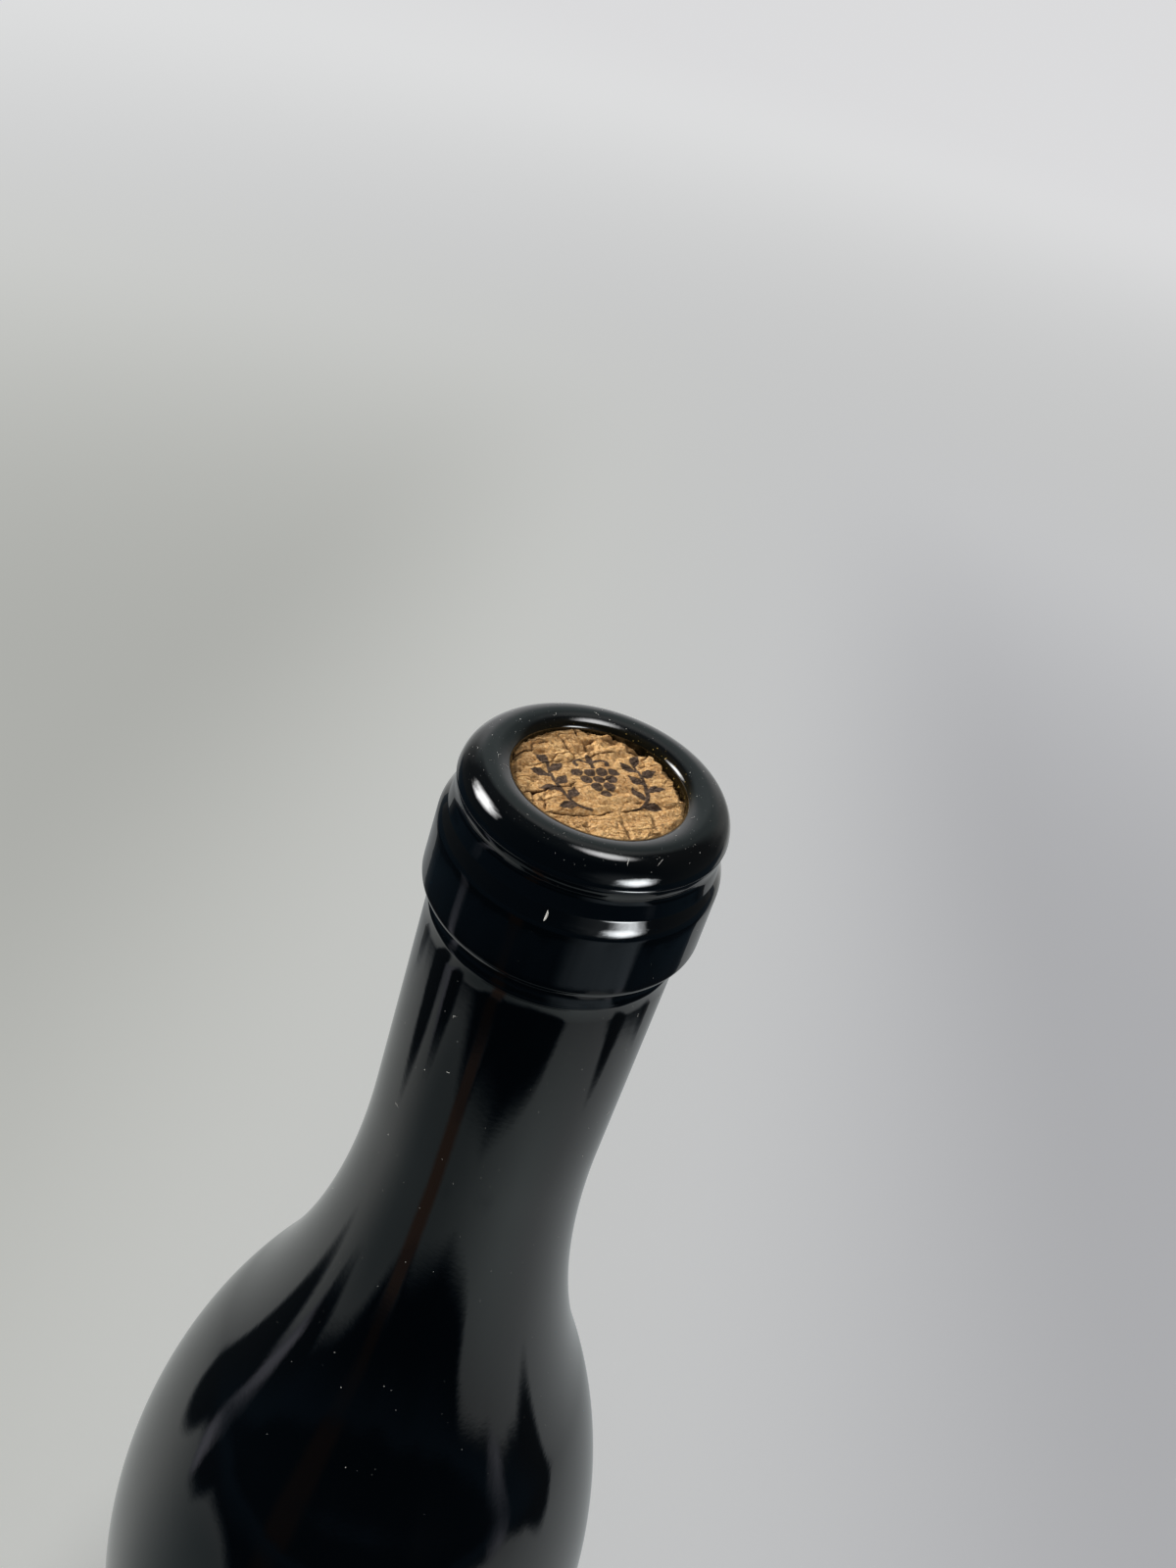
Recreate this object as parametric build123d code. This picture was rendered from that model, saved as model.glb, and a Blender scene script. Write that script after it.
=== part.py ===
from build123d import *
from math import asin, atan2, cos, degrees, hypot, radians, sin, sqrt
import os

# A shut wine bottle of about 750 ml: dark glass with long sloping shoulders, and a natural cork in its
# mouth. Millimetres. The origin is the centre of the base, on the surface that the bottle stands on, and +Z
# runs up the bottle's axis. The bottle is full and shut and its glass lets no light through, so below the
# cork it is one solid.

# Whole bottle
HEIGHT = 296.0
BODY_RADIUS = 42.1

# Lip: a round bead, whose crest is the bottle's highest ring, and an inner edge rounded into the bore
CREST_RADIUS = 11.5
BEAD_ROUND = 3.05
CROWN_ROUND = 3.5
LIP_EDGE_ROUND = 1.0
BORE_RADIUS = 9.25

# The shallow, widening groove under the bead and the round-shouldered collar below it. Depths run down from
# the crest.
GROOVE_TOP_RADIUS = 14.33
GROOVE_FOOT_RADIUS = 14.68
GROOVE_DEPTH = 6.7
GROOVE_FILLET = 0.6
COLLAR_TOP_RADIUS = 15.5
COLLAR_TOP_DEPTH = 8.1
COLLAR_SHOULDER_FILLET = 3.3
COLLAR_BOTTOM_RADIUS = 15.72
COLLAR_DEPTH = 16.3
COLLAR_FOOT_FILLET = 1.1
COLLAR_ROOT_DEPTH = 17.5
COLLAR_ROOT_FILLET = 0.35

# Neck: a slight taper, crossed by the fine rib that the joint of the finish mould leaves
NECK_TOP_RADIUS = 14.35
NECK_FOOT_RADIUS = 14.79
NECK_FOOT_DEPTH = 53.6
MOULD_RIB_DEPTH = 19.6
MOULD_RIB_WIDTH = 0.7
MOULD_RIB_HEIGHT = 0.04

# Shoulder: a hollow curve out of the neck that turns into a full curve down to the body
HOLLOW_ROUND = 155.0
FULL_ROUND = 163.5

# Base: a heel, a flat ring to stand on, and a punt with a domed tip
HEEL_ROUND = 6.0
STAND_INNER_RADIUS = 33.5
PUNT_RIM_ROUND = 2.5
PUNT_HEIGHT = 28.0
PUNT_TIP_ROUND = 12.0

# Cork: a straight cylinder with a softened top rim and a chip out of one side of it
CORK_LENGTH = 45.0
CORK_RECESS = 0.95
CORK_RIM_ROUND = 0.3
CHIP_DEPTH = 0.6
CHIP_REACH = 0.8
CHIP_WIDTH = 7.0
CHIP_BEARING = 36.0

# The open cracks in the cork's end: centre in X and Y, length, bearing from +X in degrees, width and depth
CRACKS = {
    "long": (0.5, -4.9, 11.0, 35.0, 0.30, 0.45),
    "middle": (-0.9, -0.6, 6.2, 45.0, 0.22, 0.30),
    "lower left": (-5.7, -5.0, 3.6, 38.0, 0.35, 0.45),
    "upper": (-0.9, 4.8, 3.6, 42.0, 0.30, 0.35),
    "left": (-8.0, 1.2, 2.2, 59.0, 0.25, 0.30),
}


def polar(centre, radius, angle):
    """The point at an angle in degrees on a circle of the (radius, height) half-plane."""
    return (centre[0] + radius * cos(radians(angle)), centre[1] + radius * sin(radians(angle)))


def arc(centre, radius, start, end):
    """The circle's arc between two angles in degrees."""
    return ThreePointArc(*(polar(centre, radius, angle) for angle in (start, (start + end) / 2, end)))


def lip(bore_floor):
    """From the floor of the bore up its wall, over the crown and round the bead to the groove's wall."""
    edge_x = BORE_RADIUS + LIP_EDGE_ROUND
    reach = CROWN_ROUND - LIP_EDGE_ROUND
    crown = (CREST_RADIUS, HEIGHT - CROWN_ROUND)
    edge = (edge_x, crown[1] + sqrt(reach**2 - (CREST_RADIUS - edge_x) ** 2))
    crown_start = degrees(atan2(edge[1] - crown[1], edge_x - CREST_RADIUS))
    bead = (CREST_RADIUS, HEIGHT - BEAD_ROUND)
    groove_x = GROOVE_TOP_RADIUS - CREST_RADIUS
    bead_end = -degrees(atan2(sqrt(BEAD_ROUND**2 - groove_x**2), groove_x))
    return [
        Line((0, bore_floor), (BORE_RADIUS, bore_floor)),
        Line((BORE_RADIUS, bore_floor), (BORE_RADIUS, edge[1])),
        arc(edge, LIP_EDGE_ROUND, 180, crown_start),
        arc(crown, CROWN_ROUND, crown_start, 90),
        arc(bead, BEAD_ROUND, 90, bead_end),
    ]


def collar_corners():
    """The sharp corners of the groove and collar, each with the radius that rounds it."""
    return [
        ((GROOVE_FOOT_RADIUS, HEIGHT - GROOVE_DEPTH), GROOVE_FILLET),
        ((COLLAR_TOP_RADIUS, HEIGHT - COLLAR_TOP_DEPTH), COLLAR_SHOULDER_FILLET),
        ((COLLAR_BOTTOM_RADIUS, HEIGHT - COLLAR_DEPTH), COLLAR_FOOT_FILLET),
        ((NECK_TOP_RADIUS, HEIGHT - COLLAR_ROOT_DEPTH), COLLAR_ROOT_FILLET),
    ]


def neck_radius(depth):
    """Radius of the tapered neck at a depth below the crest."""
    share = (depth - COLLAR_ROOT_DEPTH) / (NECK_FOOT_DEPTH - COLLAR_ROOT_DEPTH)
    return NECK_TOP_RADIUS + share * (NECK_FOOT_RADIUS - NECK_TOP_RADIUS)


def neck(start):
    """From the collar's root down the taper, out over the mould rib and on to the neck's foot."""
    rib_top = MOULD_RIB_DEPTH - MOULD_RIB_WIDTH / 2
    rib_foot = MOULD_RIB_DEPTH + MOULD_RIB_WIDTH / 2
    above = (neck_radius(rib_top), HEIGHT - rib_top)
    crest = (neck_radius(MOULD_RIB_DEPTH) + MOULD_RIB_HEIGHT, HEIGHT - MOULD_RIB_DEPTH)
    below = (neck_radius(rib_foot), HEIGHT - rib_foot)
    return [
        Line(start, above),
        ThreePointArc(above, crest, below),
        Line(below, (NECK_FOOT_RADIUS, HEIGHT - NECK_FOOT_DEPTH)),
    ]


def shoulder():
    """Two arcs that meet in a tangent: the first leaves along the neck, the second ends upright."""
    foot = (NECK_FOOT_RADIUS, HEIGHT - NECK_FOOT_DEPTH)
    taper = degrees(atan2(NECK_FOOT_RADIUS - NECK_TOP_RADIUS, NECK_FOOT_DEPTH - COLLAR_ROOT_DEPTH))
    hollow = polar(foot, HOLLOW_ROUND, taper)
    across = hollow[0] - (BODY_RADIUS - FULL_ROUND)
    drop = sqrt((HOLLOW_ROUND + FULL_ROUND) ** 2 - across**2)
    full = (BODY_RADIUS - FULL_ROUND, hollow[1] - drop)
    flank = degrees(atan2(drop, across))
    return [
        arc(hollow, HOLLOW_ROUND, 180 + taper, 180 + flank),
        arc(full, FULL_ROUND, flank, 0),
    ]


def base(start):
    """Down the body, round the heel, in across the standing ring and up the punt to the axis."""
    heel = (BODY_RADIUS - HEEL_ROUND, HEEL_ROUND)
    rim = (STAND_INNER_RADIUS, PUNT_RIM_ROUND)
    tip = (0, PUNT_HEIGHT - PUNT_TIP_ROUND)
    rise = degrees(atan2(tip[1] - rim[1], rim[0]))
    wall = rise + degrees(asin((PUNT_RIM_ROUND + PUNT_TIP_ROUND) / hypot(rim[0], tip[1] - rim[1])))
    return [
        Line(start, (BODY_RADIUS, HEEL_ROUND)),
        arc(heel, HEEL_ROUND, 0, -90),
        Line((heel[0], 0), (STAND_INNER_RADIUS, 0)),
        arc(rim, PUNT_RIM_ROUND, 270, 270 - wall),
        Line(polar(rim, PUNT_RIM_ROUND, 270 - wall), polar(tip, PUNT_TIP_ROUND, 90 - wall)),
        arc(tip, PUNT_TIP_ROUND, 90 - wall, 90),
    ]


def bottle():
    """The bottle's half outline, with its collar's corners rounded, turned about its axis."""
    bore_floor = HEIGHT - CORK_RECESS - CORK_LENGTH
    corners = collar_corners()
    upper = lip(bore_floor)
    edges = upper + [Polyline(upper[-1] @ 1, *(corner for corner, fillet_radius in corners))]
    edges += neck(edges[-1] @ 1)
    edges += shoulder()
    edges += base(edges[-1] @ 1)
    edges += [Line(edges[-1] @ 1, (0, bore_floor))]
    outline = make_face(edges)
    for corner, fillet_radius in corners:
        outline = fillet(outline.vertices().sort_by_distance(corner)[0], fillet_radius)
    return revolve(Plane.XZ * outline, Axis.Z)


def crack(x, y, length, bearing, width, depth):
    """A slender pointed slot in the cork's end, cut down from its top face."""
    left = (-length / 2, 0)
    right = (length / 2, 0)
    near = ThreePointArc(left, (0, width / 2), right)
    far = ThreePointArc(right, (0, -width / 2), left)
    slot = make_face([near, far])
    return Pos(x, y, 0) * Rot(0, 0, bearing) * extrude(slot, amount=-depth)


def cork():
    """The cork, with its top rim softened and chipped and its end cracked open."""
    body = Cylinder(BORE_RADIUS, CORK_LENGTH, align=(Align.CENTER, Align.CENTER, Align.MAX))
    body = fillet(body.edges().group_by(Axis.Z)[-1], CORK_RIM_ROUND)
    chip = Box(CHIP_REACH, CHIP_WIDTH, CHIP_DEPTH, align=(Align.MAX, Align.CENTER, Align.MAX))
    body -= Rot(0, 0, CHIP_BEARING) * Pos(BORE_RADIUS, 0, 0) * chip
    for sizes in CRACKS.values():
        body -= crack(*sizes)
    return Pos(0, 0, HEIGHT - CORK_RECESS) * body


os.makedirs("parts", exist_ok=True)
export_step(bottle(), "parts/bottle.step")
export_step(cork(), "parts/cork.step")
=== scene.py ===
from itertools import product
from math import acos, asin, atan2, ceil, cos, degrees, hypot, pi, radians, sin, sqrt, tan

import bpy
import numpy as np
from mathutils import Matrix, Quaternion, Vector


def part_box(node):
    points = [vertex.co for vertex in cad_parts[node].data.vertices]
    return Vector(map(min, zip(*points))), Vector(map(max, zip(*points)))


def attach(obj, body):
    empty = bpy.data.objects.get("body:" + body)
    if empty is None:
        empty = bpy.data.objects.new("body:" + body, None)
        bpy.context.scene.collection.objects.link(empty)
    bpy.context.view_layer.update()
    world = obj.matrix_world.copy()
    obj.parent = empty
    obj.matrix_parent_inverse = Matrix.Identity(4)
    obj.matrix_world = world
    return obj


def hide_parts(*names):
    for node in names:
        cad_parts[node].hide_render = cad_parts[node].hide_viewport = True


# The looks of a shut wine bottle: dark glass turned on its axis, the cork's cracked end with an ornament
# printed on it, and a little dust. Sizes are in millimetres until a mesh is made, and heights are given as
# depths below the lip's crest. Azimuths are in degrees round the bottle: 0 is towards -Y, where the camera
# is, and 90 is +X. Materials measure places in metres, as the meshes do.

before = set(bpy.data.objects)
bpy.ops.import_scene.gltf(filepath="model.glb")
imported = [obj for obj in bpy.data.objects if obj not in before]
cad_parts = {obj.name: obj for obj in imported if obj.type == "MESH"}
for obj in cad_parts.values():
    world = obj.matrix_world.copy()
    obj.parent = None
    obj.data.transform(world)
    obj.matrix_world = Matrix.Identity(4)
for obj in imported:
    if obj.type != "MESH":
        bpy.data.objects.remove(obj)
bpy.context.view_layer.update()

MM = 0.001
LIP_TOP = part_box("bottle")[1].z / MM
BODY_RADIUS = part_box("bottle")[1].x / MM
BORE_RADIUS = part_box("cork")[1].x / MM
CORK_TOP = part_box("cork")[1].z / MM
CORK_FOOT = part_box("cork")[0].z / MM

# Lip and collar
CREST_RADIUS = 11.5
BEAD_ROUND = 3.05
CROWN_ROUND = 3.5
LIP_EDGE_ROUND = 1.0
BEAD_SEAM_BEARING, BEAD_SEAM_REACH, BEAD_SEAM_HEIGHT = 3.0, 2.5, 0.035
BORE_SEEN = 3.0
GROOVE_TOP_RADIUS, GROOVE_FOOT_RADIUS, GROOVE_DEPTH, GROOVE_FILLET = 14.33, 14.68, 6.7, 0.6
COLLAR_TOP_RADIUS, COLLAR_TOP_DEPTH, COLLAR_SHOULDER_FILLET = 15.5, 8.1, 3.3
COLLAR_BOTTOM_RADIUS, COLLAR_DEPTH, COLLAR_FOOT_FILLET = 15.72, 16.3, 1.1
NECK_TOP_RADIUS, COLLAR_ROOT_DEPTH, COLLAR_ROOT_FILLET = 14.35, 17.5, 0.35

# Neck and shoulder
MOULD_RIB_DEPTH, MOULD_RIB_WIDTH, MOULD_RIB_HEIGHT = 19.6, 0.7, 0.04
NECK_FOOT_RADIUS, NECK_FOOT_DEPTH = 14.79, 53.6
HOLLOW_ROUND, FULL_ROUND = 155.0, 163.5

# Base
HEEL_ROUND, STAND_INNER_RADIUS = 6.0, 33.5
PUNT_RIM_ROUND, PUNT_HEIGHT, PUNT_TIP_ROUND = 2.5, 28.0, 12.0

# Camera, from the viewing angle of the mouth
CAMERA_BACK, CAMERA_ABOVE_LIP = 101.9, 69.2
CAMERA_TURN, CAMERA_PITCH, CAMERA_ROLL = 0.62, 34.89, 18.42
CAMERA_LENS = 27.71
CAMERA_NEAR, CAMERA_FAR = 5.0, 50000.0


# --- Numbers ---

HASH_STEPS = np.array([374761393, 668265263, 2147483647])
HASH_FACTOR = 1274126177
SEED_STEP = 1013904223


def ease(low, high, value):
    """0 below low and 1 above high, with a smooth rise between."""
    share = np.clip((value - low) / (high - low), 0, 1)
    return share * share * (3 - 2 * share)


def noise(points, scale, seed=0):
    """Smooth random values from -1 to 1 at points of shape (n, 3), with features about scale across."""
    place = points / np.asarray(scale, float)
    cell = np.floor(place)
    share = place - cell
    share = share * share * (3 - 2 * share)
    total = np.zeros(len(points))
    for corner in product((0, 1), repeat=3):
        key = (cell.astype(np.int64) + corner) @ HASH_STEPS + seed * SEED_STEP
        key = ((key ^ (key >> 13)) * HASH_FACTOR) & 0xFFFFFFFF
        value = ((key ^ (key >> 16)) & 0xFFFF) / 0xFFFF
        total += value * np.prod(np.where(corner, share, 1 - share), axis=1)
    return 2 * total - 1


def direction(azimuth, elevation):
    """The direction at an azimuth and elevation in degrees."""
    turn, rise = radians(azimuth), radians(elevation)
    return Vector((sin(turn) * cos(rise), -cos(turn) * cos(rise), sin(rise)))


def polar(centre, radius, angle):
    """The point at an angle in degrees on a circle of the (radius, height) half-plane."""
    return (centre[0] + radius * cos(radians(angle)), centre[1] + radius * sin(radians(angle)))


def arc(centre, radius, start, end, step):
    """Points along a circle's arc, from start to end degrees, no more than step degrees apart."""
    count = ceil(abs(end - start) / step)
    return [polar(centre, radius, start + (end - start) * i / count) for i in range(count + 1)]


def line(start, end, step):
    """Points along a straight run, no more than step apart."""
    count = ceil(hypot(end[0] - start[0], end[1] - start[1]) / step)
    return [(start[0] + (end[0] - start[0]) * i / count, start[1] + (end[1] - start[1]) * i / count)
            for i in range(count + 1)]


def rounded(before, corner, after, radius, step):
    """The arc that rounds a corner between two straight runs."""
    corner = np.array(corner)
    back = np.array(before) - corner
    ahead = np.array(after) - corner
    back = back / np.linalg.norm(back)
    ahead = ahead / np.linalg.norm(ahead)
    half = acos(float(back @ ahead)) / 2
    middle = (back + ahead) / np.linalg.norm(back + ahead)
    centre = corner + middle * radius / sin(half)
    start = corner + back * radius / tan(half) - centre
    end = corner + ahead * radius / tan(half) - centre
    first = degrees(atan2(start[1], start[0]))
    turn = (degrees(atan2(end[1], end[0])) - first + 180) % 360 - 180
    return arc(tuple(centre), radius, first, first + turn, step)


# --- Glass ---

def neck_radius(depth):
    """Radius of the tapered neck at a depth."""
    share = (depth - COLLAR_ROOT_DEPTH) / (NECK_FOOT_DEPTH - COLLAR_ROOT_DEPTH)
    return NECK_TOP_RADIUS + share * (NECK_FOOT_RADIUS - NECK_TOP_RADIUS)


def lip_outline():
    """From the axis out over the bore's floor, up the bore, over the crown and round the bead."""
    edge_x = BORE_RADIUS + LIP_EDGE_ROUND
    crown = (CREST_RADIUS, LIP_TOP - CROWN_ROUND)
    reach = CROWN_ROUND - LIP_EDGE_ROUND
    edge = (edge_x, crown[1] + sqrt(reach**2 - (CREST_RADIUS - edge_x) ** 2))
    crown_start = degrees(atan2(edge[1] - crown[1], edge_x - CREST_RADIUS))
    bead = (CREST_RADIUS, LIP_TOP - BEAD_ROUND)
    groove_x = GROOVE_TOP_RADIUS - CREST_RADIUS
    bead_end = -degrees(atan2(sqrt(BEAD_ROUND**2 - groove_x**2), groove_x))
    seam = [(BEAD_SEAM_BEARING - step, BEAD_SEAM_HEIGHT * (1 - abs(step) / BEAD_SEAM_REACH) ** 2)
            for step in (-2.5, -1.8, -1.2, -0.6, 0, 0.6, 1.2, 1.8, 2.5)]
    return [
        *line((0, CORK_FOOT), (BORE_RADIUS, CORK_FOOT), 3),
        *line((BORE_RADIUS, CORK_FOOT), (BORE_RADIUS, edge[1] - BORE_SEEN), 12),
        *line((BORE_RADIUS, edge[1] - BORE_SEEN), (BORE_RADIUS, edge[1]), 0.5),
        *arc(edge, LIP_EDGE_ROUND, 180, crown_start, 6),
        *arc(crown, CROWN_ROUND, crown_start, 90, 4),
        *arc(bead, BEAD_ROUND, 90, BEAD_SEAM_BEARING + BEAD_SEAM_REACH + 0.5, 4),
        *(polar(bead, BEAD_ROUND + rise, bearing) for bearing, rise in seam),
        *arc(bead, BEAD_ROUND, BEAD_SEAM_BEARING - BEAD_SEAM_REACH - 0.5, bead_end, 4),
    ]


def collar_outline(start):
    """From the bead's end down the groove, round the collar and in to the neck."""
    runs = [
        start,
        (GROOVE_FOOT_RADIUS, LIP_TOP - GROOVE_DEPTH),
        (COLLAR_TOP_RADIUS, LIP_TOP - COLLAR_TOP_DEPTH),
        (COLLAR_BOTTOM_RADIUS, LIP_TOP - COLLAR_DEPTH),
        (NECK_TOP_RADIUS, LIP_TOP - COLLAR_ROOT_DEPTH),
        (neck_radius(MOULD_RIB_DEPTH), LIP_TOP - MOULD_RIB_DEPTH),
    ]
    fillets = [GROOVE_FILLET, COLLAR_SHOULDER_FILLET, COLLAR_FOOT_FILLET, COLLAR_ROOT_FILLET]
    points = []
    for i, radius in enumerate(fillets):
        bend = rounded(runs[i], runs[i + 1], runs[i + 2], radius, 5)
        points += line(points[-1] if points else start, bend[0], 0.9)
        points += bend
    return points


def neck_outline():
    """The taper, crossed by the mould's rib."""
    rib = [MOULD_RIB_DEPTH + MOULD_RIB_WIDTH * (i / 8 - 0.5) for i in range(9)]
    points = []
    for depth in rib:
        across = 2 * (depth - MOULD_RIB_DEPTH) / MOULD_RIB_WIDTH
        points.append((neck_radius(depth) + MOULD_RIB_HEIGHT * (1 - across**2), LIP_TOP - depth))
    return points + line(points[-1], (NECK_FOOT_RADIUS, LIP_TOP - NECK_FOOT_DEPTH), 1.8)


def shoulder_outline():
    """The hollow curve out of the neck and the full curve into the body, tangent to each other."""
    foot = (NECK_FOOT_RADIUS, LIP_TOP - NECK_FOOT_DEPTH)
    taper = degrees(atan2(NECK_FOOT_RADIUS - NECK_TOP_RADIUS, NECK_FOOT_DEPTH - COLLAR_ROOT_DEPTH))
    hollow = polar(foot, HOLLOW_ROUND, taper)
    across = hollow[0] - (BODY_RADIUS - FULL_ROUND)
    drop = sqrt((HOLLOW_ROUND + FULL_ROUND) ** 2 - across**2)
    flank = degrees(atan2(drop, across))
    return [
        *arc(hollow, HOLLOW_ROUND, 180 + taper, 180 + flank, 0.6),
        *arc((BODY_RADIUS - FULL_ROUND, hollow[1] - drop), FULL_ROUND, flank, 0, 0.6),
    ]


def base_outline(start):
    """Down the body, round the heel, across the standing ring and up the punt to the axis."""
    heel = (BODY_RADIUS - HEEL_ROUND, HEEL_ROUND)
    rim = (STAND_INNER_RADIUS, PUNT_RIM_ROUND)
    tip = (0, PUNT_HEIGHT - PUNT_TIP_ROUND)
    rise = degrees(atan2(tip[1] - rim[1], rim[0]))
    wall = rise + degrees(asin((PUNT_RIM_ROUND + PUNT_TIP_ROUND) / hypot(rim[0], tip[1] - rim[1])))
    wall_foot = polar(rim, PUNT_RIM_ROUND, 270 - wall)
    wall_top = polar(tip, PUNT_TIP_ROUND, 90 - wall)
    return [
        *line(start, (BODY_RADIUS, HEEL_ROUND), 2.6),
        *arc(heel, HEEL_ROUND, 0, -90, 6),
        *arc(rim, PUNT_RIM_ROUND, 270, 270 - wall, 7),
        *line(wall_foot, wall_top, 2.6),
        *arc(tip, PUNT_TIP_ROUND, 90 - wall, 90, 6),
    ]


def glass_outline():
    """The bottle's half outline, without the doubled points where its stretches meet."""
    points = lip_outline()
    points += collar_outline(points[-1])
    points += neck_outline()
    points += shoulder_outline()
    points += base_outline(points[-1])
    kept = [points[0]]
    for point in points[1:]:
        if hypot(point[0] - kept[-1][0], point[1] - kept[-1][1]) > 1e-3:
            kept.append(point)
    return np.array(kept)


OUTLINE = glass_outline()
GLASS_TURNS = 320
GLASS_RIPPLE, GLASS_SWELL, GLASS_INSET = 0.012, 0.05, 0.01


def turned(outline, turns):
    """Vertices and faces of an outline turned about Z; its first and last points lie on the axis."""
    ring = outline[1:-1]
    angles = np.arange(turns) * 2 * pi / turns
    rims = np.stack([np.outer(ring[:, 0], np.cos(angles)), np.outer(ring[:, 0], np.sin(angles)),
                     np.repeat(ring[:, 1:], turns, axis=1)], axis=-1).reshape(-1, 3)
    ends = [[0, 0, outline[0, 1]], [0, 0, outline[-1, 1]]]
    points = np.concatenate([rims, ends])
    last = (len(ring) - 1) * turns
    first_end, last_end = len(rims), len(rims) + 1
    faces = []
    for i in range(turns):
        j = (i + 1) % turns
        faces.append((first_end, i, j))
        faces.append((last_end, last + j, last + i))
        faces += [(row + i, row + turns + i, row + turns + j, row + j) for row in range(0, last, turns)]
    return points, faces


def new_mesh(name, points, faces, **marks):
    """A smooth mesh object from points in millimetres; marks are named values on its vertices."""
    mesh = bpy.data.meshes.new(name)
    mesh.from_pydata((np.asarray(points) * MM).tolist(), [], faces)
    mesh.shade_smooth()
    for mark, values in marks.items():
        layer = mesh.attributes.new(mark, "FLOAT", "POINT")
        layer.data.foreach_set("value", np.asarray(values, np.float32))
    piece = bpy.data.objects.new(name, mesh)
    bpy.context.scene.collection.objects.link(piece)
    return piece


def make_glass():
    """The bottle, with the slight unevenness of blown glass on its outside below the collar."""
    points, faces = turned(OUTLINE, GLASS_TURNS)
    reach = np.hypot(points[:, 0], points[:, 1])
    depth = LIP_TOP - points[:, 2]
    blown = ease(COLLAR_ROOT_DEPTH + 4, COLLAR_ROOT_DEPTH + 30, depth) * ease(HEEL_ROUND, 30, points[:, 2])
    outside = blown * (reach > BORE_RADIUS + 1)
    wave = GLASS_RIPPLE * noise(points, (9, 9, 14), 1) + GLASS_SWELL * noise(points, (30, 30, 60), 2)
    inward = np.minimum(outside * wave, 0) - outside * GLASS_INSET
    points[:, :2] *= (1 + inward / np.maximum(reach, 1))[:, None]
    return new_mesh("bottle_glass", points, faces)


# --- Cork ---

CORK_CELLS = 280
GRAIN_BEARING = 35.0
CORK_SINK, CORK_GAP = 0.30, 0.05
CORK_RINGS = (1.6, 4.0, 20.0)
CRACK_GAIN, FURROW_GAIN = 1.2, 1.3
PIT_DEPTH, EDGE_DROP, CHIP_DEPTH = 0.05, 0.18, 0.9

# Open cracks in the cork's end: x and y of the two ends, width, depth
CRACKS = (
    (-4.2, -8.3, 0.2, -5.5, 0.085, 0.50),
    (0.2, -5.5, 2.6, -3.9, 0.085, 0.50),
    (2.6, -3.9, 5.7, -1.7, 0.080, 0.40),
    (-7.4, -6.2, -4.4, -4.0, 0.100, 0.50),
    (-4.3, -3.9, -1.9, -1.5, 0.075, 0.35),
    (0.3, 0.3, 1.3, 1.6, 0.060, 0.35),
    (-7.3, -0.9, -4.4, 1.9, 0.070, 0.25),
    (-2.5, 3.4, -1.2, 5.0, 0.090, 0.45),
    (-1.2, 5.0, 0.6, 6.3, 0.080, 0.40),
    (1.6, 7.0, 3.3, 8.3, 0.120, 0.50),
    (-9.2, -0.1, -7.6, 2.3, 0.100, 0.40),
    (-9.2, -2.9, -8.0, -2.6, 0.180, 0.45),
    (-4.5, 8.0, -4.0, 7.0, 0.080, 0.30),
    (3.4, 2.6, 4.1, 3.0, 0.070, 0.25),
    (3.9, -1.5, 4.8, -0.9, 0.090, 0.30),
    (-2.9, -2.3, -2.2, -1.2, 0.080, 0.30),
)

# Soft furrows across the rings: x and y of the two ends, width, depth
FURROWS = (
    (-0.1, -6.6, 0.9, -9.3, 0.30, 0.16),
    (2.9, -4.2, 4.9, -8.0, 0.28, 0.18),
    (5.8, -2.2, 7.5, -5.4, 0.30, 0.12),
    (-6.1, -5.2, -5.4, -7.4, 0.25, 0.16),
    (-4.9, -4.6, -4.4, -7.4, 0.22, 0.12),
    (-2.1, 7.6, -3.3, 5.9, 0.35, 0.22),
    (0.3, 9.0, 0.0, 7.4, 0.25, 0.18),
    (-5.8, 3.4, -2.4, 5.9, 0.30, 0.12),
    (6.2, 4.6, 3.9, 3.3, 0.35, 0.10),
)

# Lumps and hollows: x, y, radius, height
LUMPS = (
    (-7.5, -3.6, 0.95, 0.24),
    (-6.2, -3.1, 1.0, 0.14),
    (-7.0, -5.1, 0.8, 0.14),
    (-4.9, -6.5, 0.8, 0.12),
    (-1.6, 7.9, 0.9, 0.16),
    (-3.0, 6.6, 0.9, -0.25),
    (1.6, 7.9, 0.8, 0.14),
    (4.4, 6.9, 0.9, 0.10),
    (-6.2, 4.0, 1.1, 0.12),
    (1.2, -6.7, 1.4, 0.10),
    (5.2, -5.2, 1.4, 0.08),
)


def disc_grid(cells, radius):
    """A square grid pressed into a disc, so that its cells stay nearly even: x, y, quads and the rim."""
    side = np.linspace(-1, 1, cells + 1)
    u, v = (grid.ravel() for grid in np.meshgrid(side, side, indexing="ij"))
    wide = np.abs(u) > np.abs(v)
    reach = np.where(wide, u, v)
    safe = np.where(reach == 0, 1, reach)
    angle = np.where(wide, pi / 4 * v / safe, pi / 2 - pi / 4 * u / safe)
    index = np.arange((cells + 1) ** 2).reshape(cells + 1, cells + 1)
    quads = np.stack([index[:-1, :-1], index[1:, :-1], index[1:, 1:], index[:-1, 1:]], -1).reshape(-1, 4)
    rim = np.concatenate([index[:-1, 0], index[-1, :-1], index[:0:-1, -1], index[0, :0:-1]])
    return radius * reach * np.cos(angle), radius * reach * np.sin(angle), quads, rim


def along(points, stroke):
    """Distance from each (x, y) point to the segment that a stroke starts with, and the share along it."""
    start, end = np.array(stroke[:2]), np.array(stroke[2:4])
    run = end - start
    share = np.clip((points - start) @ run / (run @ run), 0, 1)
    gap = points - start - share[:, None] * run
    return np.hypot(gap[:, 0], gap[:, 1]), share


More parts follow.
